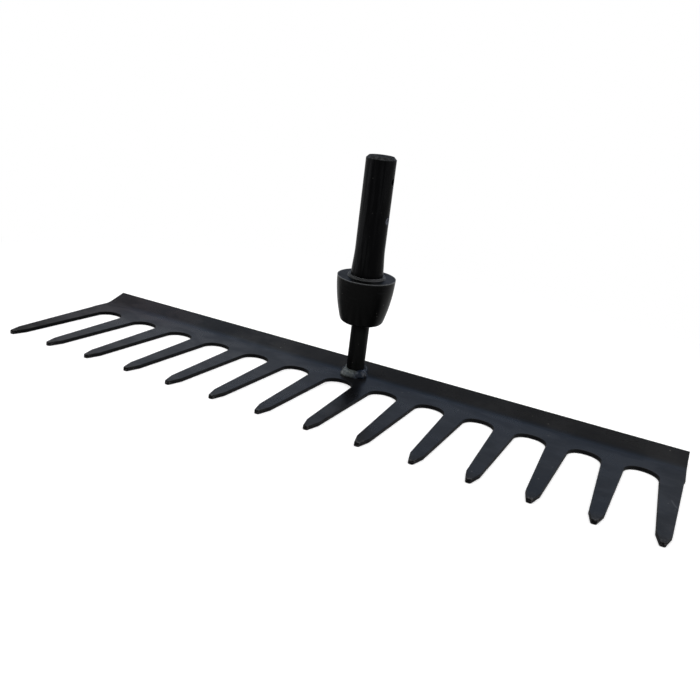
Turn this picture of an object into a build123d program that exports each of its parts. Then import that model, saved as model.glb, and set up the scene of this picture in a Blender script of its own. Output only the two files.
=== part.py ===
from build123d import *
import os
from math import atan, cos, pi, radians, sin, tan

# A garden rake head: one formed steel blade with a row of teeth, a round
# steel tang welded to the middle of it, and a cup-shaped collar round the
# tang, which the handle seats against.
# Millimetres. +X runs along the blade, -Y to the tooth tips, +Z up the tang.
# The origin is the middle of the footprint, on the ground under the teeth.

# blade sheet
SHEET = 2.4
BAND_DEPTH = 31.5          # gap roots to the back edge, seen from above
LIP_DEPTH = 18.0           # the turned-up part of that band, bend and flange
LIP_RADIUS = 18.0          # inner radius of the bend
LIP_ANGLE = 17.7           # degrees, how far the flange behind it tilts up
END_OVERHANG = 0.375       # the band stands this far past the end teeth
EDGE_ROUND = 0.4           # softened edge of the punched sheet

# teeth
TOOTH_COUNT = 14
TOOTH_SPACING = 29.75      # from one tooth's middle to the next
TOOTH_LENGTH = 77.7
TOOTH_ROOT_WIDTH = 12.5
SHOULDER_WIDTH = 7.2       # where the tapered flanks end
POINT_LENGTH = 9.0         # shoulders to the blunt end
POINT_WIDTH = 2.6          # width of the blunt end
POINT_ROUND = 1.0
SHOULDER_ROUND = 2.5
GAP_FLAT = 0.86            # the straight left between the two roundings of a gap's root
TOOTH_SINK = 2.0           # how far each tooth runs into the band

# tang: neck and handle pin in one piece
TANG_INSET = 3.0           # its axis meets the blade this far past the bend's start
TANG_LEAN = 3.0            # degrees, toward the tooth tips
NECK_RADIUS = 5.65
PIN_RADIUS = 9.0
PIN_FOOT_RADIUS = 9.9
PIN_LENGTH = 71.9          # above the collar
FLARE_LENGTH = 18.0
FOOT_DEPTH = 5.0           # how far the pin's foot sits inside the collar
PIN_CHAMFER = 1.5

# two drilled screw seats in the pin's right side
SEAT_DEPTH = 1.8
LOW_SEAT_RADIUS = 2.4
HIGH_SEAT_RADIUS = 1.9
LOW_SEAT_BELOW_TOP = 36.2
HIGH_SEAT_BELOW_TOP = 13.6
DRILL_HALF_ANGLE = 59.0

# collar
COLLAR_STANDOFF = 34.8     # blade face to the collar's underside
COLLAR_HEIGHT = 29.0
COLLAR_TOP_RADIUS = 17.9
COLLAR_BASE_RADIUS = 12.9
COLLAR_BULGE = 1.1         # how far the flank swells past a straight cone
COLLAR_BASE_ROUND = 3.0
COLLAR_RIM_ROUND = 1.2
COLLAR_LIP_WIDTH = 1.3     # the raised lip round the pin's foot
COLLAR_LIP_RISE = 1.1
COLLAR_LIP_ROUND = 0.6
COLLAR_MOUTH_CHAMFER = 0.3
COLLAR_BORE_GAP = 0.05

# weld bead round the neck's foot
BEAD_RISE = 3.4            # how far the bead climbs the neck
BEAD_REACH = 3.0           # how far it spreads past the neck
BEAD_FULLNESS = 0.62       # where its round face passes, as a share of both
BEAD_LUMPS = 5
LUMP_RADIUS = 4.1
LUMP_INSET = 0.3           # lump centres inside the neck's surface
FIRST_LUMP_ANGLE = -95.0   # degrees, from +X

# worked out from the above
LIP_START = BAND_DEPTH - LIP_DEPTH
LIP_SLOPE = radians(LIP_ANGLE)
FLANGE_LENGTH = (LIP_DEPTH - LIP_RADIUS * sin(LIP_SLOPE)) / cos(LIP_SLOPE)
TANG_FROM_ROOTS = LIP_START + TANG_INSET
GAP_WIDTH = TOOTH_SPACING - TOOTH_ROOT_WIDTH
FLANK_TAPER = atan((TOOTH_ROOT_WIDTH - SHOULDER_WIDTH) / 2 / (TOOTH_LENGTH - POINT_LENGTH))
GAP_ROUND = (GAP_WIDTH - GAP_FLAT) / 2 / tan((pi / 2 - FLANK_TAPER) / 2)
BACK_OVERHANG = SHEET * sin(LIP_SLOPE)
ROOT_Y = (TOOTH_LENGTH - BAND_DEPTH - BACK_OVERHANG) / 2
TEETH_SPAN = (TOOTH_COUNT - 1) * TOOTH_SPACING
BLADE_LENGTH = TEETH_SPAN + TOOTH_ROOT_WIDTH + 2 * END_OVERHANG
COLLAR_TOP = COLLAR_STANDOFF + COLLAR_HEIGHT
PIN_TOP = COLLAR_TOP + PIN_LENGTH
PIN_SHOULDER = COLLAR_TOP - FOOT_DEPTH

DRILL_ALIGN = (Align.CENTER, Align.CENTER, Align.MIN)
STRAIGHT_DOWN = 270        # the angle that an arc starts from, in degrees
NEAR = 0.01                # how close a corner must be to be picked
SKIN_TILT = 0.5            # the sheet's own faces look up or down more than this
FOOT_SINK = 10.0           # how far the tang and the bead reach down before they are cut

# the tang's own frame: its foot on the blade, +Z up its leaning axis
TANG = Location((0, ROOT_Y + TANG_FROM_ROOTS, SHEET), (TANG_LEAN, 0, 0))


def side_line(drop):
    """A line along the sheet in the YZ plane, this far under its upper side."""
    start = ROOT_Y + LIP_START
    with BuildLine() as line:
        Line((ROOT_Y - TOOTH_LENGTH, SHEET - drop), (start, SHEET - drop))
        bend_centre = (start, SHEET + LIP_RADIUS)
        bend = CenterArc(bend_centre, LIP_RADIUS + drop, STRAIGHT_DOWN, LIP_ANGLE)
        PolarLine(bend @ 1, FLANGE_LENGTH, LIP_ANGLE)
    return line.line


def slab(depth):
    """The bent sheet at full length, made this thick below its upper side."""
    upper = side_line(0)
    lower = side_line(depth)
    with BuildSketch(Plane.YZ) as section:
        with BuildLine():
            add(upper)
            add(lower)
            Line(upper @ 0, lower @ 0)
            Line(upper @ 1, lower @ 1)
        make_face()
    return extrude(section.sketch, BLADE_LENGTH / 2, both=True)


def corners_at(sketch, y):
    """The sketch's corners that lie at this Y."""
    return sketch.vertices().filter_by_position(Axis.Y, y - NEAR, y + NEAR)


def tooth_outline():
    """One tapered tooth seen from above, its root on the X axis."""
    half_root = TOOTH_ROOT_WIDTH / 2
    half_shoulder = SHOULDER_WIDTH / 2
    shoulder_y = POINT_LENGTH - TOOTH_LENGTH
    half_point = POINT_WIDTH / 2
    with BuildSketch() as tooth:
        Polygon(
            (-half_root, TOOTH_SINK),
            (-half_root, 0),
            (-half_shoulder, shoulder_y),
            (-half_point, -TOOTH_LENGTH),
            (half_point, -TOOTH_LENGTH),
            (half_shoulder, shoulder_y),
            (half_root, 0),
            (half_root, TOOTH_SINK),
            align=None,
        )
        fillet(corners_at(tooth, -TOOTH_LENGTH), POINT_ROUND)
        fillet(corners_at(tooth, shoulder_y), SHOULDER_ROUND)
    return tooth.sketch


def blade_outline():
    """The whole blade seen from above: the band, the teeth, rounded gap roots."""
    with BuildSketch() as outline:
        with Locations((0, ROOT_Y)):
            Rectangle(BLADE_LENGTH, BAND_DEPTH + BACK_OVERHANG, align=(Align.CENTER, Align.MIN))
        with Locations((0, ROOT_Y)):
            with GridLocations(TOOTH_SPACING, TOOTH_SPACING, TOOTH_COUNT, 1):
                add(tooth_outline())
        inner = TEETH_SPAN / 2 + TOOTH_ROOT_WIDTH / 4
        roots = corners_at(outline, ROOT_Y).filter_by_position(Axis.X, -inner, inner)
        fillet(roots, GAP_ROUND)
    return outline.sketch


def skin(blade, side):
    """The faces on one side of the sheet: 1 is the upper side, -1 the lower."""
    return blade.faces().filter_by(lambda face: side * face.normal_at().Z > SKIN_TILT)


def rim(faces):
    """The edges that belong to only one of the faces."""
    edges = faces.edges()
    return [edge for edge in edges if sum(edge.is_same(other) for other in edges) == 1]


def build_blade():
    """The sheet bent to its section, cut to its outline, its edges softened."""
    blade = slab(SHEET) & extrude(blade_outline(), LIP_RADIUS)
    return fillet(rim(skin(blade, 1)) + rim(skin(blade, -1)), EDGE_ROUND)


def build_screw_seat(radius, below_top):
    """A drilled seat, bored in from the +X side of the pin."""
    point = radius / tan(radians(DRILL_HALF_ANGLE))
    with BuildPart(Plane.YZ) as seat:
        with Locations((0, PIN_TOP - below_top, PIN_RADIUS - SEAT_DEPTH)):
            Cylinder(radius, 2 * SEAT_DEPTH, align=DRILL_ALIGN)
            Cone(radius, 0, point, align=DRILL_ALIGN, rotation=(180, 0, 0))
    return seat.part


def build_tang(ground):
    """Neck and handle pin, turned from one bar and cut to sit on the blade."""
    with BuildPart() as tang:
        with BuildSketch(Plane.XZ):
            with BuildLine():
                foot = Polyline(
                    (0, -FOOT_SINK),
                    (NECK_RADIUS, -FOOT_SINK),
                    (NECK_RADIUS, PIN_SHOULDER),
                    (PIN_FOOT_RADIUS, PIN_SHOULDER),
                    (PIN_FOOT_RADIUS, COLLAR_TOP),
                )
                flare_end = (PIN_RADIUS, COLLAR_TOP + FLARE_LENGTH)
                flare = Spline(foot @ 1, flare_end, tangents=((0, 1), (0, 1)))
                Polyline(
                    flare @ 1,
                    (PIN_RADIUS, PIN_TOP - PIN_CHAMFER),
                    (PIN_RADIUS - PIN_CHAMFER, PIN_TOP),
                    (0, PIN_TOP),
                    foot @ 0,
                )
            make_face()
        revolve(axis=Axis.Z)
        add(build_screw_seat(LOW_SEAT_RADIUS, LOW_SEAT_BELOW_TOP), mode=Mode.SUBTRACT)
        add(build_screw_seat(HIGH_SEAT_RADIUS, HIGH_SEAT_BELOW_TOP), mode=Mode.SUBTRACT)
    return TANG * tang.part - ground


def build_collar():
    """A cup with a swelling flank and a lip round its mouth, bored for the tang."""
    bore = NECK_RADIUS + COLLAR_BORE_GAP
    recess = PIN_FOOT_RADIUS + COLLAR_BORE_GAP
    base = (COLLAR_BASE_RADIUS, COLLAR_STANDOFF)
    rim_corner = (COLLAR_TOP_RADIUS, COLLAR_TOP)
    lip_radius = recess + COLLAR_LIP_WIDTH
    lip_top = COLLAR_TOP + COLLAR_LIP_RISE
    middle = (
        (COLLAR_BASE_RADIUS + COLLAR_TOP_RADIUS) / 2 + COLLAR_BULGE,
        COLLAR_STANDOFF + COLLAR_HEIGHT / 2,
    )
    with BuildPart() as collar:
        with BuildSketch(Plane.XZ) as section:
            with BuildLine():
                ThreePointArc(base, middle, rim_corner)
                Polyline(
                    rim_corner,
                    (lip_radius, COLLAR_TOP),
                    (lip_radius, lip_top),
                    (recess, lip_top),
                    (recess, PIN_SHOULDER),
                    (bore, PIN_SHOULDER),
                    (bore, COLLAR_STANDOFF),
                    base,
                )
            make_face()
            corners = section.vertices()
            fillet(corners.sort_by_distance(base)[0], COLLAR_BASE_ROUND)
            fillet(corners.sort_by_distance(rim_corner)[0], COLLAR_RIM_ROUND)
            fillet(corners.sort_by_distance((lip_radius, lip_top))[0], COLLAR_LIP_ROUND)
            chamfer(corners.sort_by_distance((recess, lip_top))[0], COLLAR_MOUTH_CHAMFER)
        revolve(axis=Axis.Z)
    return TANG * collar.part


def build_weld_bead(ground, tang):
    """A lumpy ring of weld that fills the corner of neck and blade."""
    with BuildPart() as bead:
        with BuildSketch(Plane.XZ):
            with BuildLine():
                ThreePointArc(
                    (NECK_RADIUS + BEAD_REACH, 0),
                    (NECK_RADIUS + BEAD_FULLNESS * BEAD_REACH, BEAD_FULLNESS * BEAD_RISE),
                    (NECK_RADIUS, BEAD_RISE),
                )
                Polyline(
                    (NECK_RADIUS, BEAD_RISE),
                    (0, BEAD_RISE),
                    (0, -FOOT_SINK),
                    (NECK_RADIUS + BEAD_REACH, -FOOT_SINK),
                    (NECK_RADIUS + BEAD_REACH, 0),
                )
            make_face()
        revolve(axis=Axis.Z)
        with PolarLocations(NECK_RADIUS - LUMP_INSET, BEAD_LUMPS, FIRST_LUMP_ANGLE):
            Sphere(LUMP_RADIUS)
    return TANG * bead.part - ground - tang


def main():
    ground = slab(2 * FOOT_SINK)
    tang = build_tang(ground)
    nodes = {
        "rake_blade": build_blade(),
        "tang": tang,
        "collar": build_collar(),
        "weld_bead": build_weld_bead(ground, tang),
    }
    os.makedirs("parts", exist_ok=True)
    for name, solid in nodes.items():
        export_step(solid, f"parts/{name}.step")


main()
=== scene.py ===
import bpy
from math import cos, radians, sin
from mathutils import Euler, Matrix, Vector


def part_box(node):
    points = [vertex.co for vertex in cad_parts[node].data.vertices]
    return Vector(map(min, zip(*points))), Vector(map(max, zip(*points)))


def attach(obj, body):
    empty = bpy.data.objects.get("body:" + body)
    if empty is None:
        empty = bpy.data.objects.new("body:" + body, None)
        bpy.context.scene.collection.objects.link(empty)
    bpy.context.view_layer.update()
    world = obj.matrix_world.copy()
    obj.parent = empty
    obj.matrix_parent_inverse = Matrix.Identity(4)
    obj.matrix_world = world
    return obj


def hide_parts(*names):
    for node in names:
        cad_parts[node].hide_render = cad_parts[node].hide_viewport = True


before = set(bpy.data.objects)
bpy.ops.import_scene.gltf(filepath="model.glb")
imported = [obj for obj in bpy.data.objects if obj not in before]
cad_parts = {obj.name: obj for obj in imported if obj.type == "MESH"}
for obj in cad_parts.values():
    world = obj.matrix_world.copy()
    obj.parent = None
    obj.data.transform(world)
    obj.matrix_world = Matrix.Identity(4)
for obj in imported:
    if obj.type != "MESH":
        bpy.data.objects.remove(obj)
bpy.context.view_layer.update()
bpy.ops.object.select_all(action="DESELECT")

# Sizes of the rake head that the finishes follow, in metres.
# +X runs along the blade, -Y to the tooth tips, +Z up the tang.
BLADE_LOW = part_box("rake_blade")[0]
SHEET = 0.0024
TOOTH_LENGTH = 0.0777
TIP_LINE = BLADE_LOW[1]
ROOT_LINE = TIP_LINE + TOOTH_LENGTH
TANG_FOOT = (0.0, ROOT_LINE + 0.0165, SHEET)
TANG_LEAN = radians(3.0)
PIN_TOP = 0.1357           # along the tang's own axis, from its foot
COLLAR_TOP = 0.0638
COLLAR_BASE = 0.0348


# Node helpers

def add_node(tree, kind, **settings):
    made = tree.nodes.new(kind)
    for name, value in settings.items():
        setattr(made, name, value)
    return made


def feed(tree, socket, value):
    """Gives a socket a link, a number or a colour."""
    if isinstance(value, bpy.types.NodeSocket):
        tree.links.new(value, socket)
    elif isinstance(value, (tuple, list)) and len(value) == 3 and socket.type == "RGBA":
        socket.default_value = (*value, 1.0)
    else:
        socket.default_value = value


def math_of(tree, operation, first, second=0.0):
    made = add_node(tree, "ShaderNodeMath", operation=operation)
    feed(tree, made.inputs[0], first)
    feed(tree, made.inputs[1], second)
    return made.outputs[0]


def ramp(tree, value, low, high, start=0.0, end=1.0):
    """Turns low..high of a value into start..end, with a soft knee."""
    made = add_node(tree, "ShaderNodeMapRange", interpolation_type="SMOOTHSTEP")
    feed(tree, made.inputs["Value"], value)
    for name, number in (("From Min", low), ("From Max", high), ("To Min", start), ("To Max", end)):
        feed(tree, made.inputs[name], number)
    return made.outputs[0]


def noise(tree, place, scale, detail=3.0, roughness=0.5, distortion=0.0):
    made = add_node(tree, "ShaderNodeTexNoise")
    feed(tree, made.inputs["Vector"], place)
    feed(tree, made.inputs["Scale"], scale)
    feed(tree, made.inputs["Detail"], detail)
    feed(tree, made.inputs["Roughness"], roughness)
    feed(tree, made.inputs["Distortion"], distortion)
    return made.outputs["Fac"]


def blend_colour(tree, factor, first, second):
    made = add_node(tree, "ShaderNodeMix", data_type="RGBA")
    feed(tree, made.inputs[0], factor)
    feed(tree, made.inputs[6], first)
    feed(tree, made.inputs[7], second)
    return made.outputs[2]


def stretched(tree, place, scale, turn=(0.0, 0.0, 0.0)):
    """The same place, turned and squeezed, so that a pattern on it runs one way."""
    made = add_node(tree, "ShaderNodeMapping")
    feed(tree, made.inputs["Vector"], place)
    feed(tree, made.inputs["Rotation"], turn)
    feed(tree, made.inputs["Scale"], scale)
    return made.outputs["Vector"]


def parts_of(tree, vector):
    made = add_node(tree, "ShaderNodeSeparateXYZ")
    feed(tree, made.inputs[0], vector)
    return made.outputs["X"], made.outputs["Y"], made.outputs["Z"]


def bumped(tree, height, strength, distance, normal=None):
    made = add_node(tree, "ShaderNodeBump")
    feed(tree, made.inputs["Height"], height)
    feed(tree, made.inputs["Strength"], strength)
    feed(tree, made.inputs["Distance"], distance)
    if normal is not None:
        feed(tree, made.inputs["Normal"], normal)
    return made.outputs["Normal"]


def use_group(tree, group, **values):
    made = add_node(tree, "ShaderNodeGroup", node_tree=group)
    for name, value in values.items():
        feed(tree, made.inputs[name.replace("_", " ")], value)
    return made.outputs


def start_group(name, inputs, outputs):
    group = bpy.data.node_groups.new(name, "ShaderNodeTree")
    for label, kind, value in inputs:
        socket = group.interface.new_socket(label, in_out="INPUT", socket_type=kind)
        if value is not None:
            socket.default_value = value
    for label, kind in outputs:
        group.interface.new_socket(label, in_out="OUTPUT", socket_type=kind)
    return group, group.nodes.new("NodeGroupInput").outputs, group.nodes.new("NodeGroupOutput").inputs


NUMBER = "NodeSocketFloat"
VECTOR = "NodeSocketVector"


# Effects that several finishes share

def make_worn_edges():
    """Where the surface turns over an edge: 1 on the edge, broken up by noise."""
    group, given, result = start_group(
        "worn edges",
        [("Place", VECTOR, None), ("Width", NUMBER, 0.0008), ("Patchiness", NUMBER, 0.5)],
        [("Edge", NUMBER), ("Wear", NUMBER)],
    )
    rounded = add_node(group, "ShaderNodeBevel", samples=6)
    feed(group, rounded.inputs["Radius"], given["Width"])
    surface = add_node(group, "ShaderNodeNewGeometry")
    likeness = add_node(group, "ShaderNodeVectorMath", operation="DOT_PRODUCT")
    feed(group, likeness.inputs[0], rounded.outputs["Normal"])
    feed(group, likeness.inputs[1], surface.outputs["Normal"])
    edge = ramp(group, likeness.outputs["Value"], 0.995, 0.86)
    patches = noise(group, given["Place"], 420.0, 4.0, 0.6)
    threshold = ramp(group, patches, 0.38, 0.62)
    kept = math_of(group, "SUBTRACT", 1.0, given["Patchiness"])
    broken = math_of(group, "MAXIMUM", kept, threshold)
    feed(group, result["Edge"], edge)
    feed(group, result["Wear"], math_of(group, "MULTIPLY", edge, broken))
    return group


def make_coat_skin():
    """The skin of a sprayed coat: soft orange peel, fine grain and slow patches."""
    group, given, result = start_group(
        "coat skin",
        [("Place", VECTOR, None), ("Peel", NUMBER, 700.0), ("Grain", NUMBER, 3200.0)],
        [("Height", NUMBER), ("Grain", NUMBER), ("Patches", NUMBER)],
    )
    peel = noise(group, given["Place"], given["Peel"], 2.0, 0.45)
    grain = noise(group, given["Place"], given["Grain"], 3.0, 0.6)
    height = math_of(group, "ADD", peel, math_of(group, "MULTIPLY", grain, 0.35))
    patches = noise(group, given["Place"], 26.0, 5.0, 0.62, 0.4)
    feed(group, result["Height"], height)
    feed(group, result["Grain"], grain)
    feed(group, result["Patches"], patches)
    return group


def make_fine_scratches():
    """Thin hairlines in two directions, only here and there."""
    group, given, result = start_group(
        "fine scratches",
        [("Place", VECTOR, None), ("Density", NUMBER, 0.5)],
        [("Lines", NUMBER)],
    )
    masks = []
    for turn, stretch in ((radians(24), 46.0), (radians(-61), 38.0)):
        along = stretched(group, given["Place"], (stretch, 2600.0, 2600.0), (0.0, 0.0, turn))
        streak = noise(group, along, 1.0, 1.0, 0.4)
        area = noise(group, given["Place"], 55.0 + stretch, 2.0, 0.5)
        line = ramp(group, streak, 0.70, 0.78)
        masks.append(math_of(group, "MULTIPLY", line, ramp(group, area, 0.50, 0.62)))
    both = math_of(group, "MAXIMUM", masks[0], masks[1])
    feed(group, result["Lines"], math_of(group, "MULTIPLY", both, given["Density"]))
    return group


def make_dust():
    """Small pale specks, thinly strewn."""
    group, given, result = start_group(
        "dust specks",
        [("Place", VECTOR, None), ("Cells", NUMBER, 330.0), ("Amount", NUMBER, 0.4)],
        [("Specks", NUMBER)],
    )
    cells = add_node(group, "ShaderNodeTexVoronoi", feature="F1")
    feed(group, cells.inputs["Vector"], given["Place"])
    feed(group, cells.inputs["Scale"], given["Cells"])
    red = parts_of(group, cells.outputs["Color"])[0]
    chosen = math_of(group, "GREATER_THAN", red, 0.9)
    spot = ramp(group, cells.outputs["Distance"], 0.16, 0.06)
    specks = math_of(group, "MULTIPLY", chosen, spot)
    feed(group, result["Specks"], math_of(group, "MULTIPLY", specks, given["Amount"]))
    return group


WORN_EDGES = make_worn_edges()
COAT_SKIN = make_coat_skin()
FINE_SCRATCHES = make_fine_scratches()
DUST = make_dust()


# Finishes

def start_material(name, specular):
    material = bpy.data.materials.new(name)
    material.use_nodes = True
    tree = material.node_tree
    tree.nodes.clear()
    shader = add_node(tree, "ShaderNodeBsdfPrincipled")
    shader.inputs["Specular IOR Level"].default_value = specular
    out = add_node(tree, "ShaderNodeOutputMaterial")
    tree.links.new(shader.outputs["BSDF"], out.inputs["Surface"])
    where = add_node(tree, "ShaderNodeTexCoord")
    return material, tree, shader.inputs, where.outputs["Object"], where.outputs["Normal"]


def wear(node_name, material):
    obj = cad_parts[node_name]
    obj.data.materials.clear()
    obj.data.materials.append(material)


DEEP_BLACK = (0.0092, 0.0094, 0.0098)
LIGHTER_BLACK = (0.0222, 0.0222, 0.0226)
BROWN_BLACK = (0.0225, 0.0170, 0.0160)
EARTH_BLACK = (0.0200, 0.0180, 0.0140)
# dark for the cloudy patches, and also painted shade on the side walls and a painted dark reflection in
# front of the tang
SMUDGE_AND_SHADE_BLACK = (0.0008, 0.0008, 0.0011)
RUBBED_GREY = (0.045, 0.046, 0.048)
BARE_STEEL = (0.13, 0.125, 0.12)
DUST_GREY = (0.16, 0.155, 0.145)

WARM_END = (-0.165, 0.045, 0.004)      # the brownish patch at the blade's left end
WARM_REACH = 0.055
DULL_START = -0.165        # the outermost tooth there is duller
DULL_END = -0.190
RIGHT_END = 0.195
# painted reflection and shade centred here, in front of the tang's foot
TANG_REFLECTION_MIDDLE = (0.010, 0.014, SHEET)
TANG_REFLECTION_REACH = 0.044
SCRATCH_MIDDLE = (0.1957, -0.0117, SHEET)
SCRATCH_TURN = radians(68.7)
SCRATCH_LENGTH = 0.0110
SCRATCH_WIDTH = 0.0008
SCRATCH_BOW = 16.0
LIGHTENING_START = 0.05          # towards -X from here the coat is lighter
LIGHTENING_END = -0.08


def make_blade_coat():
    """Satin powder coat on the pressed blade, rubbed at the tooth tips, with painted shade on its side
    walls and in front of the tang.
    """
    material, tree, shader, place, facing = start_material("blade_coat", specular=0.11)
    skin = use_group(tree, COAT_SKIN, Place=place, Peel=620.0, Grain=3000.0)
    edges = use_group(tree, WORN_EDGES, Place=place, Width=0.0009, Patchiness=0.75)
    lines = use_group(tree, FINE_SCRATCHES, Place=place, Density=0.8)["Lines"]
    specks = use_group(tree, DUST, Place=place, Cells=300.0, Amount=0.5)["Specks"]

    # deep black that turns lighter towards the left end, where it is also warmer
    x, y, _ = parts_of(tree, place)
    drift = ramp(tree, skin["Patches"], 0.34, 0.68, -0.18, 0.18)
    lightening = math_of(tree, "ADD", ramp(tree, x, LIGHTENING_START, LIGHTENING_END), drift)
    colour = blend_colour(tree, lightening, DEEP_BLACK, LIGHTER_BLACK)
    distance = add_node(tree, "ShaderNodeVectorMath", operation="DISTANCE")
    feed(tree, distance.inputs[0], place)
    feed(tree, distance.inputs[1], WARM_END)
    warmth = ramp(tree, distance.outputs["Value"], WARM_REACH, 0.0)
    warmth = math_of(tree, "MULTIPLY", warmth, ramp(tree, skin["Patches"], 0.3, 0.6, 0.4, 1.0))
    colour = blend_colour(tree, warmth, colour, BROWN_BLACK)

    # the outermost teeth are duller, the left ones and their tips browner
    dull_end = ramp(tree, x, DULL_START, DULL_END)
    colour = blend_colour(tree, math_of(tree, "MULTIPLY", dull_end, 0.6), colour, BROWN_BLACK)
    to_tips = ramp(tree, y, ROOT_LINE - 0.015, TIP_LINE + 0.010)
    earthy = math_of(tree, "MULTIPLY", to_tips, ramp(tree, x, -0.06, -0.17))
    colour = blend_colour(tree, math_of(tree, "MULTIPLY", earthy, 0.7), colour, EARTH_BLACK)
    right_end = ramp(tree, x, RIGHT_END - 0.035, RIGHT_END)
    colour = blend_colour(tree, math_of(tree, "MULTIPLY", right_end, 0.40), colour, LIGHTER_BLACK)

    # slow cloudy patches, in tone and in gloss
    cloud = noise(tree, stretched(tree, place, (1.0, 1.6, 1.0)), 42.0, 3.0, 0.55, 0.3)
    smudge = ramp(tree, cloud, 0.40, 0.60)
    colour = blend_colour(tree, math_of(tree, "MULTIPLY", smudge, 0.45), colour, SMUDGE_AND_SHADE_BLACK)

    # painted reflection and shade: the coat is darkened round a point in front of the tang's foot, standing
    # in for the tang's dark reflection and the shade under the weld
    reflection_distance = add_node(tree, "ShaderNodeVectorMath", operation="DISTANCE")
    feed(tree, reflection_distance.inputs[0], place)
    feed(tree, reflection_distance.inputs[1], TANG_REFLECTION_MIDDLE)
    tang_reflection = ramp(tree, reflection_distance.outputs["Value"], TANG_REFLECTION_REACH, TANG_REFLECTION_REACH / 4)
    colour = blend_colour(tree, math_of(tree, "MULTIPLY", tang_reflection, 0.65), colour, SMUDGE_AND_SHADE_BLACK)

    # painted shade: the punched side walls are darkened against the faces
    up = parts_of(tree, facing)[2]
    wall_shade = ramp(tree, math_of(tree, "ABSOLUTE", up), 0.80, 0.40)
    colour = blend_colour(tree, wall_shade, colour, SMUDGE_AND_SHADE_BLACK)

    # rubbed tooth tips, with bare metal at the very end
    mottle = noise(tree, place, 900.0, 4.0, 0.65)
    tip = ramp(tree, y, TIP_LINE + 0.010, TIP_LINE + 0.001)
    rubbed = math_of(tree, "MULTIPLY", tip, ramp(tree, mottle, 0.45, 0.62))
    colour = blend_colour(tree, math_of(tree, "MULTIPLY", rubbed, 0.3), colour, RUBBED_GREY)
    end = ramp(tree, y, TIP_LINE + 0.0035, TIP_LINE + 0.0004)
    bare = math_of(tree, "MULTIPLY", end, ramp(tree, mottle, 0.50, 0.60))
    colour = blend_colour(tree, math_of(tree, "MULTIPLY", bare, 0.3), colour, BARE_STEEL)

    # one longer scratch across the last tooth on the right
    moved = add_node(tree, "ShaderNodeVectorMath", operation="SUBTRACT")
    feed(tree, moved.inputs[0], place)
    feed(tree, moved.inputs[1], SCRATCH_MIDDLE)
    turned = stretched(tree, moved.outputs[0], (1.0, 1.0, 1.0), (0.0, 0.0, SCRATCH_TURN))
    along, aside, _ = parts_of(tree, turned)
    bow = math_of(tree, "MULTIPLY", math_of(tree, "MULTIPLY", along, along), SCRATCH_BOW)
    aside = math_of(tree, "ABSOLUTE", math_of(tree, "SUBTRACT", aside, bow))
    reach = ramp(tree, math_of(tree, "ABSOLUTE", along), SCRATCH_LENGTH / 2, SCRATCH_LENGTH / 4)
    scratch = math_of(tree, "MULTIPLY", reach, ramp(tree, aside, SCRATCH_WIDTH, 0.0))
    colour = blend_colour(tree, math_of(tree, "MULTIPLY", scratch, 0.9), colour, RUBBED_GREY)

    # worn edges, hairlines and dust
    face = math_of(tree, "SUBTRACT", 1.0, wall_shade)
    edge_wear = math_of(tree, "MULTIPLY", math_of(tree, "MULTIPLY", edges["Wear"], 0.20), face)
    colour = blend_colour(tree, edge_wear, colour, RUBBED_GREY)
    colour = blend_colour(tree, math_of(tree, "MULTIPLY", lines, 0.35), colour, RUBBED_GREY)
    colour = blend_colour(tree, math_of(tree, "MULTIPLY", specks, face), colour, DUST_GREY)
    feed(tree, shader["Base Color"], colour)

    base_rough = ramp(tree, skin["Patches"], 0.3, 0.7, 0.25, 0.32)
    rough = math_of(tree, "ADD", base_rough, math_of(tree, "MULTIPLY", smudge, 0.05))
    weathered = math_of(tree, "MAXIMUM", right_end, earthy)
    rough = math_of(tree, "ADD", rough, math_of(tree, "MULTIPLY", weathered, 0.06))
    rough = math_of(tree, "ADD", rough, math_of(tree, "MULTIPLY", wall_shade, 0.45))
    rough = math_of(tree, "ADD", rough, math_of(tree, "MULTIPLY", dull_end, 0.20))
    rough = math_of(tree, "ADD", rough, ramp(tree, skin["Grain"], 0.3, 0.7, -0.03, 0.04))
    rough = math_of(tree, "ADD", rough, math_of(tree, "MULTIPLY", tip, 0.12))
    rough = math_of(tree, "SUBTRACT", rough, math_of(tree, "MULTIPLY", lines, 0.12))
    feed(tree, shader["Roughness"], rough)

    height = math_of(tree, "SUBTRACT", skin["Height"], math_of(tree, "MULTIPLY", lines, 0.8))
    height = math_of(tree, "SUBTRACT", height, math_of(tree, "MULTIPLY", rubbed, 0.9))
    normal = bumped(tree, height, 0.22, 0.00006)
    slow = noise(tree, place, 38.0, 2.0, 0.5)
    feed(tree, shader["Normal"], bumped(tree, slow, 0.25, 0.0006, normal))
    return material


def along_tang(tree, place):
    """The place in the tang's own frame: foot at zero, Z up its leaning axis."""
    moved = add_node(tree, "ShaderNodeVectorMath", operation="SUBTRACT")
    feed(tree, moved.inputs[0], place)
    feed(tree, moved.inputs[1], TANG_FOOT)
    return stretched(tree, moved.outputs[0], (1.0, 1.0, 1.0), (-TANG_LEAN, 0.0, 0.0))


PIN_BLACK = (0.0006, 0.0006, 0.0009)
PIN_GREY = (0.0120, 0.0122, 0.0130)
SAWN_GREY = (0.013, 0.013, 0.0125)
# painted sheen on the neck, standing in for a soft reflection
NECK_SHEEN = (0.0060, 0.0064, 0.0062)
# bare steel of the lower seat, made bright as a painted highlight
SEAT_STEEL_AND_LIGHT = (0.24, 0.25, 0.29)
HIGH_SEAT = PIN_TOP - 0.0136
PIN_RADIUS = 0.009


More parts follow.
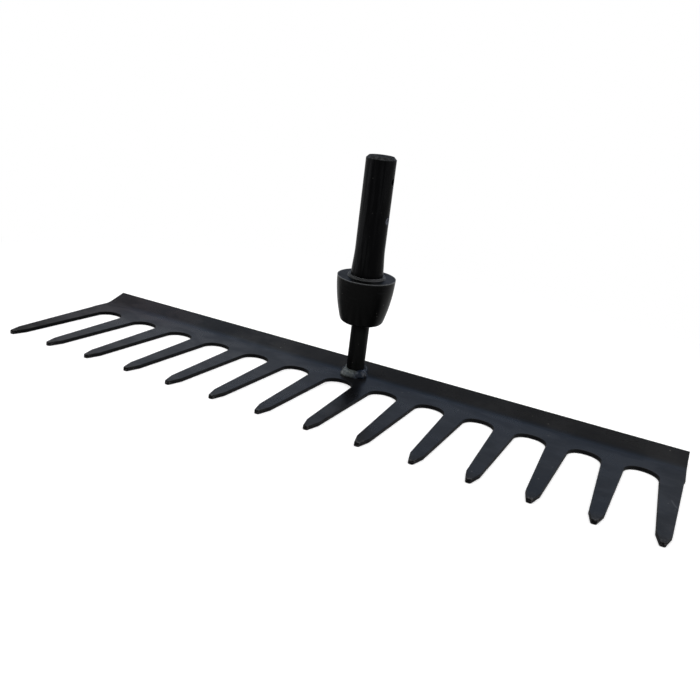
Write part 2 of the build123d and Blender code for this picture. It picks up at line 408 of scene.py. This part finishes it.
def make_tang_coat():
    """Thin black paint on turned bar, streaked along the pin, its end sawn, with painted light on the pin's
    -X side, the neck, the lower seat and the chamfer.
    """
    material, tree, shader, place, facing = start_material("tang_coat", specular=0.03)
    upright = along_tang(tree, place)
    height_up = parts_of(tree, upright)[2]
    skin = use_group(tree, COAT_SKIN, Place=place, Peel=900.0, Grain=3600.0)
    edges = use_group(tree, WORN_EDGES, Place=place, Width=0.0010, Patchiness=0.5)
    lines = use_group(tree, FINE_SCRATCHES, Place=place, Density=0.7)["Lines"]
    specks = use_group(tree, DUST, Place=place, Cells=420.0, Amount=0.35)["Specks"]

    # streaks left by handles pushed on and pulled off, with a painted highlight on the -X side
    streaks = noise(tree, stretched(tree, upright, (520.0, 520.0, 26.0)), 1.0, 4.0, 0.6)
    broad = noise(tree, stretched(tree, upright, (150.0, 150.0, 18.0)), 1.0, 3.0, 0.55)
    on_pin = ramp(tree, height_up, COLLAR_TOP, COLLAR_TOP + 0.004)
    rubbed = math_of(tree, "MULTIPLY", ramp(tree, streaks, 0.42, 0.62), ramp(tree, broad, 0.36, 0.56))
    rubbed = math_of(tree, "MULTIPLY", rubbed, on_pin)
    side_x, side_y, _ = parts_of(tree, upright)
    # painted highlight: the streaks are made lighter towards -X, standing in for the light along the pin's
    # left edge
    rubbed = math_of(tree, "MULTIPLY", rubbed, ramp(tree, side_x, 0.002, -0.004, 0.3, 1.0))
    colour = blend_colour(tree, rubbed, PIN_BLACK, PIN_GREY)

    # painted sheen: a lighter streaky film down the neck stands in for a soft reflection
    on_neck = ramp(tree, height_up, COLLAR_BASE - 0.001, COLLAR_BASE - 0.007)
    neck_sheen = math_of(tree, "MULTIPLY", ramp(tree, broad, 0.36, 0.60), on_neck)
    colour = blend_colour(tree, neck_sheen, colour, NECK_SHEEN)

    # bare steel in the lower drilled seat, made bright as a painted highlight where its far wall catches
    # the light; the upper seat is left dark
    out_x = math_of(tree, "MULTIPLY", side_x, side_x)
    out_y = math_of(tree, "MULTIPLY", side_y, side_y)
    from_axis = math_of(tree, "SQRT", math_of(tree, "ADD", out_x, out_y))
    below_skin = ramp(tree, from_axis, PIN_RADIUS - 0.0001, PIN_RADIUS - 0.0004)
    seat_steel_and_light = math_of(tree, "MULTIPLY", below_skin, on_pin)
    seat_steel_and_light = math_of(tree, "MULTIPLY", seat_steel_and_light, ramp(tree, height_up, HIGH_SEAT - 0.008, HIGH_SEAT - 0.010))
    colour = blend_colour(tree, seat_steel_and_light, colour, SEAT_STEEL_AND_LIGHT)

    # the sawn end, and its chamfer ring lightened as worn paint and as a painted highlight
    axis_up = parts_of(tree, stretched(tree, facing, (1.0, 1.0, 1.0), (-TANG_LEAN, 0.0, 0.0)))[2]
    near_top = ramp(tree, height_up, PIN_TOP - 0.0022, PIN_TOP - 0.0012)
    flat_end = math_of(tree, "MULTIPLY", ramp(tree, axis_up, 0.80, 0.93), near_top)
    chamfer = math_of(tree, "MULTIPLY", ramp(tree, axis_up, 0.25, 0.55), near_top)
    mottle = noise(tree, place, 520.0, 5.0, 0.65)
    saw = noise(tree, stretched(tree, place, (160.0, 2400.0, 100.0), (0.0, 0.0, radians(18))), 1.0, 2.0)
    saw_mottle = math_of(tree, "ADD", mottle, saw)
    sawn = math_of(tree, "MULTIPLY", flat_end, ramp(tree, saw_mottle, 0.8, 1.3, 0.35, 1.0))
    colour = blend_colour(tree, sawn, colour, SAWN_GREY)
    chamfer_wear_and_highlight = math_of(tree, "MULTIPLY", chamfer, ramp(tree, mottle, 0.40, 0.62, 0.25, 0.8))
    chamfer_wear_and_highlight = math_of(tree, "MULTIPLY", chamfer_wear_and_highlight, math_of(tree, "SUBTRACT", 1.0, flat_end))
    colour = blend_colour(tree, chamfer_wear_and_highlight, colour, RUBBED_GREY)

    colour = blend_colour(tree, math_of(tree, "MULTIPLY", edges["Wear"], 0.35), colour, RUBBED_GREY)
    colour = blend_colour(tree, math_of(tree, "MULTIPLY", lines, 0.25), colour, RUBBED_GREY)
    colour = blend_colour(tree, specks, colour, DUST_GREY)
    feed(tree, shader["Base Color"], colour)

    rough = ramp(tree, broad, 0.3, 0.7, 0.30, 0.44)
    rough = math_of(tree, "ADD", rough, math_of(tree, "MULTIPLY", flat_end, 0.25))
    rough = math_of(tree, "ADD", rough, math_of(tree, "MULTIPLY", rubbed, 0.08))
    feed(tree, shader["Roughness"], rough)

    relief = math_of(tree, "ADD", skin["Height"], math_of(tree, "MULTIPLY", streaks, 1.2))
    relief = math_of(tree, "SUBTRACT", relief, math_of(tree, "MULTIPLY", lines, 0.8))
    normal = bumped(tree, relief, 0.30, 0.00007)
    cut_face = math_of(tree, "MULTIPLY", flat_end, math_of(tree, "ADD", saw, mottle))
    feed(tree, shader["Normal"], bumped(tree, cut_face, 0.5, 0.00035, normal))
    return material


PLASTIC_BLACK = (0.0006, 0.0007, 0.0007)
PLASTIC_SCUFF = (0.022, 0.023, 0.024)
# painted highlight colour for the line along the collar's rim
PLASTIC_RIM_HIGHLIGHT = (0.150, 0.155, 0.160)


def make_collar_plastic():
    """Smooth moulded black plastic with faint scuffs on its rim and flank, and a painted highlight along
    its rim.
    """
    material, tree, shader, place, _ = start_material("collar_plastic", specular=0.045)
    upright = along_tang(tree, place)
    height_up = parts_of(tree, upright)[2]
    edges = use_group(tree, WORN_EDGES, Place=place, Width=0.0016, Patchiness=0.6)
    lines = use_group(tree, FINE_SCRATCHES, Place=place, Density=0.6)["Lines"]
    specks = use_group(tree, DUST, Place=place, Cells=380.0, Amount=0.3)["Specks"]
    cloud = noise(tree, place, 60.0, 4.0, 0.6)
    scuffs = noise(tree, stretched(tree, upright, (60.0, 60.0, 700.0)), 1.0, 4.0, 0.65)
    # the scuffs grow stronger towards the top: real scuffs, lifted there as painted light on the rim and
    # lip
    shoulder = ramp(tree, height_up, COLLAR_TOP - 0.009, COLLAR_TOP - 0.001)
    rubbed = math_of(tree, "MULTIPLY", ramp(tree, scuffs, 0.52, 0.68), ramp(tree, cloud, 0.4, 0.65))
    scuff_and_light_level = math_of(tree, "ADD", math_of(tree, "MULTIPLY", shoulder, 0.35), 0.12)
    rubbed = math_of(tree, "MULTIPLY", rubbed, scuff_and_light_level)
    colour = blend_colour(tree, rubbed, PLASTIC_BLACK, PLASTIC_SCUFF)
    colour = blend_colour(tree, math_of(tree, "MULTIPLY", edges["Wear"], 0.25), colour, PLASTIC_SCUFF)
    # painted highlight: a light line along the rim's edge
    edge_reach = ramp(tree, edges["Edge"], 0.30, 0.95)
    near_rim = ramp(tree, height_up, COLLAR_TOP - 0.003, COLLAR_TOP - 0.001)
    rim_highlight = math_of(tree, "MULTIPLY", edge_reach, near_rim)
    colour = blend_colour(tree, math_of(tree, "MULTIPLY", rim_highlight, 0.8), colour, PLASTIC_RIM_HIGHLIGHT)
    colour = blend_colour(tree, math_of(tree, "MULTIPLY", lines, 0.3), colour, PLASTIC_SCUFF)
    colour = blend_colour(tree, specks, colour, DUST_GREY)
    feed(tree, shader["Base Color"], colour)

    rough = ramp(tree, cloud, 0.3, 0.7, 0.30, 0.40)
    rough = math_of(tree, "ADD", rough, math_of(tree, "MULTIPLY", rubbed, 0.3))
    feed(tree, shader["Roughness"], rough)
    fine = noise(tree, place, 1500.0, 2.0, 0.5)
    height = math_of(tree, "SUBTRACT", fine, math_of(tree, "MULTIPLY", lines, 1.5))
    feed(tree, shader["Normal"], bumped(tree, height, 0.18, 0.00005))
    return material


# painted light and shade on the weld: pale where lit on the left, bluish where shaded on the right
WELD_LIT_GREY = (0.084, 0.096, 0.094)
WELD_SHADED_BLUE = (0.008, 0.013, 0.023)
WELD_DARK = (0.0030, 0.0034, 0.0042)
WELD_SHADE_START = 0.0006        # painted shade: towards +X from here the weld turns a shaded bluish
WELD_SHADE_END = 0.0052
DARK_LEFT_START = -0.0060
DARK_LEFT_END = -0.0078
TOE_SHADE_TOP = SHEET + 0.0006   # painted shade: the weld is darkened where it meets the sheet
TOE_SHADE_BOTTOM = SHEET + 0.0001


def make_weld_coat():
    """A lumpy run of weld under the coat, with painted light and shade: pale where lit left of the middle,
    shaded bluish on the right, painted shade at its toe and in dark patches for its creases.
    """
    material, tree, shader, place, _ = start_material("weld_coat", specular=0.30)
    skin = use_group(tree, COAT_SKIN, Place=place, Peel=480.0, Grain=2600.0)
    edges = use_group(tree, WORN_EDGES, Place=place, Width=0.0010, Patchiness=0.4)
    specks = use_group(tree, DUST, Place=place, Cells=500.0, Amount=0.4)["Specks"]
    x, _, z = parts_of(tree, place)
    pools = noise(tree, place, 240.0, 4.0, 0.6, 0.5)
    across = math_of(tree, "ADD", x, ramp(tree, pools, 0.3, 0.7, -0.0012, 0.0012))
    colour = blend_colour(tree, ramp(tree, across, WELD_SHADE_START, WELD_SHADE_END), WELD_LIT_GREY, WELD_SHADED_BLUE)
    # painted shade: dark noise patches stand in for shade in the weld's creases
    colour = blend_colour(tree, ramp(tree, pools, 0.44, 0.34, 0.0, 0.6), colour, WELD_DARK)
    # painted shade along the toe, where the weld meets the sheet
    toe_shade = ramp(tree, z, TOE_SHADE_TOP, TOE_SHADE_BOTTOM)
    colour = blend_colour(tree, toe_shade, colour, WELD_DARK)
    far_left = ramp(tree, x, DARK_LEFT_START, DARK_LEFT_END)
    colour = blend_colour(tree, math_of(tree, "MULTIPLY", far_left, 0.8), colour, WELD_DARK)
    colour = blend_colour(tree, math_of(tree, "MULTIPLY", edges["Wear"], 0.3), colour, RUBBED_GREY)
    colour = blend_colour(tree, specks, colour, DUST_GREY)
    feed(tree, shader["Base Color"], colour)
    feed(tree, shader["Roughness"], ramp(tree, skin["Patches"], 0.3, 0.7, 0.26, 0.40))
    fine = bumped(tree, skin["Height"], 0.35, 0.00010)
    ripples = noise(tree, place, 330.0, 2.0, 0.5)
    feed(tree, shader["Normal"], bumped(tree, ripples, 0.5, 0.0008, fine))
    return material


wear("rake_blade", make_blade_coat())
wear("tang", make_tang_coat())
wear("collar", make_collar_plastic())


# The weld

NECK_RADIUS = 0.00565
WELD_FOOT_RADIUS = 0.0094
WELD_SHOULDER_RADIUS = 0.0061
WELD_RISE = 0.0038
WELD_SINK = 0.0006         # how far the run starts below the sheet's face before it is trimmed
WELD_GRAIN = 0.00030       # edge of the cells that the run is melted together from
WELD_SHIFT = (0.0004, -0.0010)  # its middle, right of and in front of the tang's foot
RIPPLE_SPACING = 0.0022
RIPPLE_HEIGHT = 0.0007
NECK_OVERLAP = 0.00005     # the bore is this much tighter than the neck
DRILL_LENGTH = 0.04
CUT_TOLERANCE = 0.000001
MERGE_REACH = 0.00003      # corners closer than this become one
SLIVER_SIZE = 0.00001
MILLIMETRE = 0.001


def apply_modifier(piece, kind, **settings):
    bpy.context.view_layer.objects.active = piece
    modifier = piece.modifiers.new(kind.lower(), kind)
    for name, value in settings.items():
        setattr(modifier, name, value)
    bpy.ops.object.modifier_apply(modifier=modifier.name)


def add_bead(name, angle, out, height, along, outwards, up):
    """One bead: its angle round the neck in degrees from +X, its middle's distance out and height,
    and its half sizes along the run, outwards and upwards, all in millimetres."""
    turn = radians(angle)
    middle = Vector(TANG_FOOT) + Vector((cos(turn) * out, sin(turn) * out, height)) * MILLIMETRE
    bpy.ops.mesh.primitive_uv_sphere_add(
        segments=32, ring_count=20, radius=1.0, location=middle, rotation=(0, 0, turn),
        scale=Vector((outwards, along, up)) * MILLIMETRE,
    )
    bead = bpy.context.object
    bead.name = name
    return bead


def lay_weld():
    """The run of weld: overlapping beads on a fillet, melted into one, bored for the neck."""
    foot = Vector(TANG_FOOT)
    bpy.ops.object.select_all(action="DESELECT")
    bpy.ops.mesh.primitive_cone_add(
        vertices=64, radius1=WELD_FOOT_RADIUS, radius2=WELD_SHOULDER_RADIUS, depth=WELD_RISE + WELD_SINK,
        location=foot + Vector((*WELD_SHIFT, (WELD_RISE - WELD_SINK) / 2)),
    )
    run = bpy.context.object
    beads = [
        run,
        add_bead("front_left", angle=-98, out=7.9, height=0.7, along=5.2, outwards=3.3, up=3.4),
        add_bead("right", angle=-36, out=7.8, height=1.3, along=4.2, outwards=3.2, up=3.5),
        add_bead("far_left", angle=176, out=7.6, height=0.6, along=2.2, outwards=1.6, up=1.7),
        add_bead("left_peak", angle=202, out=5.4, height=2.8, along=2.2, outwards=1.2, up=2.6),
        add_bead("back_left", angle=128, out=6.1, height=2.0, along=3.4, outwards=2.0, up=2.8),
        add_bead("back_right", angle=52, out=6.2, height=2.2, along=4.0, outwards=2.2, up=3.0),
    ]
    for bead in beads:
        bead.select_set(True)
    bpy.context.view_layer.objects.active = run
    bpy.ops.object.join()
    bpy.ops.object.transform_apply(location=True, rotation=True, scale=True)
    run.name = "weld_run"
    run.data.name = "weld_run"
    apply_modifier(run, "REMESH", mode="VOXEL", voxel_size=WELD_GRAIN)
    apply_modifier(run, "SMOOTH", factor=0.6, iterations=5)
    ripples = bpy.data.textures.new("weld_ripples", "CLOUDS")
    ripples.noise_scale = RIPPLE_SPACING
    ripples.noise_depth = 1
    apply_modifier(
        run, "DISPLACE", texture=ripples, texture_coords="LOCAL", strength=RIPPLE_HEIGHT, mid_level=0.5
    )

    # trimmed on the sheet's face and bored for the neck
    bpy.ops.object.mode_set(mode="EDIT")
    bpy.ops.mesh.select_all(action="SELECT")
    bpy.ops.mesh.bisect(
        plane_co=(0, 0, SHEET), plane_no=(0, 0, 1), threshold=CUT_TOLERANCE, clear_inner=True, use_fill=True
    )
    bpy.ops.object.mode_set(mode="OBJECT")
    bpy.ops.object.select_all(action="DESELECT")
    bpy.ops.mesh.primitive_cylinder_add(
        vertices=96, radius=NECK_RADIUS - NECK_OVERLAP, depth=DRILL_LENGTH, location=foot,
        rotation=(TANG_LEAN, 0, 0),
    )
    drill = bpy.context.object
    apply_modifier(run, "BOOLEAN", object=drill, operation="DIFFERENCE", solver="EXACT")
    bpy.data.objects.remove(drill)

    # the two cuts leave slivers and a few dangling faces, which go
    bpy.context.view_layer.objects.active = run
    run.select_set(True)
    bpy.ops.object.mode_set(mode="EDIT")
    bpy.ops.mesh.select_all(action="SELECT")
    bpy.ops.mesh.remove_doubles(threshold=MERGE_REACH)
    bpy.ops.mesh.quads_convert_to_tris()
    bpy.ops.mesh.dissolve_degenerate(threshold=SLIVER_SIZE)
    bpy.ops.mesh.select_mode(type="EDGE")
    bpy.ops.mesh.select_all(action="DESELECT")
    bpy.ops.mesh.select_non_manifold(
        use_wire=True, use_boundary=True, use_multi_face=False, use_non_contiguous=False, use_verts=False
    )
    bpy.ops.mesh.delete(type="EDGE")
    bpy.ops.mesh.select_all(action="SELECT")
    bpy.ops.mesh.delete_loose()
    bpy.ops.object.mode_set(mode="OBJECT")
    bpy.ops.object.shade_smooth_by_angle(angle=radians(40))
    run.data.materials.clear()
    run.data.materials.append(make_weld_coat())
    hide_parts("weld_bead")
    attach(run, "root")


lay_weld()


# The studio

# The room that glossy surfaces reflect, by height as a share of straight up.
ROOM_STEPS = (
    (0.12, (1.0, 1.0, 1.0)),      # white cove
    (0.19, (0.44, 0.42, 0.39)),   # dim wall, warm
    (0.28, (0.39, 0.42, 0.52)),   # dim wall, cooler
    (0.42, (0.24, 0.36, 0.55)),   # below the window
    (0.54, (0.34, 0.50, 0.80)),   # cool window
    (0.76, (0.19, 0.18, 0.18)),   # dark ceiling
)
ROOM_LEVEL = (0.35, 0.35, 0.35)
FLOOR_COLOUR = (0.82, 0.82, 0.82)
FLOOR_LIFT = 0.35
WHITE = (1.0, 1.0, 1.0)
SHADOW_REACH = 0.42        # the floor is plain white past this distance
SHADOW_FADE = 0.30


def seen_directly(tree):
    """1 for what the camera sees, straight or in a gloss or through glass."""
    path = add_node(tree, "ShaderNodeLightPath").outputs
    straight = math_of(tree, "MAXIMUM", path["Is Camera Ray"], path["Is Glossy Ray"])
    return math_of(tree, "MAXIMUM", straight, path["Is Transmission Ray"])


def build_world():
    world = bpy.data.worlds.new("studio")
    bpy.context.scene.world = world
    world.use_nodes = True
    tree = world.node_tree
    tree.nodes.clear()
    out = add_node(tree, "ShaderNodeOutputWorld")
    shine = add_node(tree, "ShaderNodeBackground")
    direction = add_node(tree, "ShaderNodeTexCoord").outputs["Generated"]
    room = add_node(tree, "ShaderNodeValToRGB")
    feed(tree, room.inputs["Fac"], parts_of(tree, direction)[2])
    stops = room.color_ramp.elements
    while len(stops) < len(ROOM_STEPS):
        stops.new(0.5)
    for stop, (height, colour) in zip(stops, ROOM_STEPS):
        stop.position = height
        stop.color = (*colour, 1.0)
    shown = blend_colour(tree, seen_directly(tree), ROOM_LEVEL, room.outputs["Color"])
    camera_ray = add_node(tree, "ShaderNodeLightPath").outputs["Is Camera Ray"]
    feed(tree, shine.inputs["Color"], blend_colour(tree, camera_ray, shown, WHITE))
    feed(tree, shine.inputs["Strength"], 1.0)
    tree.links.new(shine.outputs[0], out.inputs["Surface"])


def build_floor():
    bpy.ops.mesh.primitive_plane_add(size=12, location=(0, 0, 0))
    floor = bpy.context.object
    floor.name = "studio_floor"
    material = bpy.data.materials.new("pale_floor")
    material.use_nodes = True
    tree = material.node_tree
    tree.nodes.clear()
    out = add_node(tree, "ShaderNodeOutputMaterial")
    matt = add_node(tree, "ShaderNodeBsdfDiffuse")
    feed(tree, matt.inputs["Color"], FLOOR_COLOUR)
    lift = add_node(tree, "ShaderNodeEmission")
    lit = add_node(tree, "ShaderNodeAddShader")
    white = add_node(tree, "ShaderNodeEmission")
    shown = seen_directly(tree)
    place = add_node(tree, "ShaderNodeTexCoord").outputs["Object"]
    distance = add_node(tree, "ShaderNodeVectorMath", operation="LENGTH")
    feed(tree, distance.inputs[0], place)
    far = ramp(tree, distance.outputs["Value"], SHADOW_REACH - SHADOW_FADE, SHADOW_REACH)
    feed(tree, lift.inputs["Strength"], math_of(tree, "MULTIPLY", shown, FLOOR_LIFT))
    tree.links.new(matt.outputs[0], lit.inputs[0])
    tree.links.new(lift.outputs[0], lit.inputs[1])
    final = add_node(tree, "ShaderNodeMixShader")
    feed(tree, final.inputs[0], math_of(tree, "MULTIPLY", shown, far))
    tree.links.new(lit.outputs[0], final.inputs[1])
    tree.links.new(white.outputs[0], final.inputs[2])
    tree.links.new(final.outputs[0], out.inputs["Surface"])
    floor.data.materials.append(material)


def add_lamp(name, place, aim, width, height, power, colour=WHITE):
    lamp = bpy.data.lights.new(name, "AREA")
    lamp.shape = "RECTANGLE"
    lamp.size = width
    lamp.size_y = height
    lamp.energy = power
    lamp.color = colour
    holder = bpy.data.objects.new(name, lamp)
    bpy.context.scene.collection.objects.link(holder)
    holder.location = place
    holder.rotation_euler = (Vector(aim) - Vector(place)).to_track_quat("-Z", "Y").to_euler()


CAMERA_PLACE = (0.17224, -0.38669, 0.16500)
CAMERA_TURN = (radians(71.990), radians(-7.8136), radians(25.162))
CAMERA_LENS = 39.36


def build_camera():
    lens = bpy.data.cameras.new("camera")
    holder = bpy.data.objects.new("camera", lens)
    bpy.context.scene.collection.objects.link(holder)
    holder.location = CAMERA_PLACE
    holder.rotation_euler = Euler(CAMERA_TURN)
    lens.sensor_width = 36
    lens.lens = CAMERA_LENS
    lens.clip_start = 0.01
    bpy.context.scene.camera = holder


build_world()
build_floor()
add_lamp("overhead", place=(0.0, 0.1, 1.2), aim=(0, 0, 0), width=1.2, height=0.9, power=9.0)
add_lamp("left_strip", place=(-0.9, -0.2, 0.5), aim=(0, 0, 0.05), width=0.3, height=1.0, power=3.0)
add_lamp("right_strip", place=(0.9, 0.2, 0.5), aim=(0, 0, 0.05), width=0.3, height=1.0, power=3.0)
build_camera()
bpy.context.scene.view_settings.view_transform = "Standard"
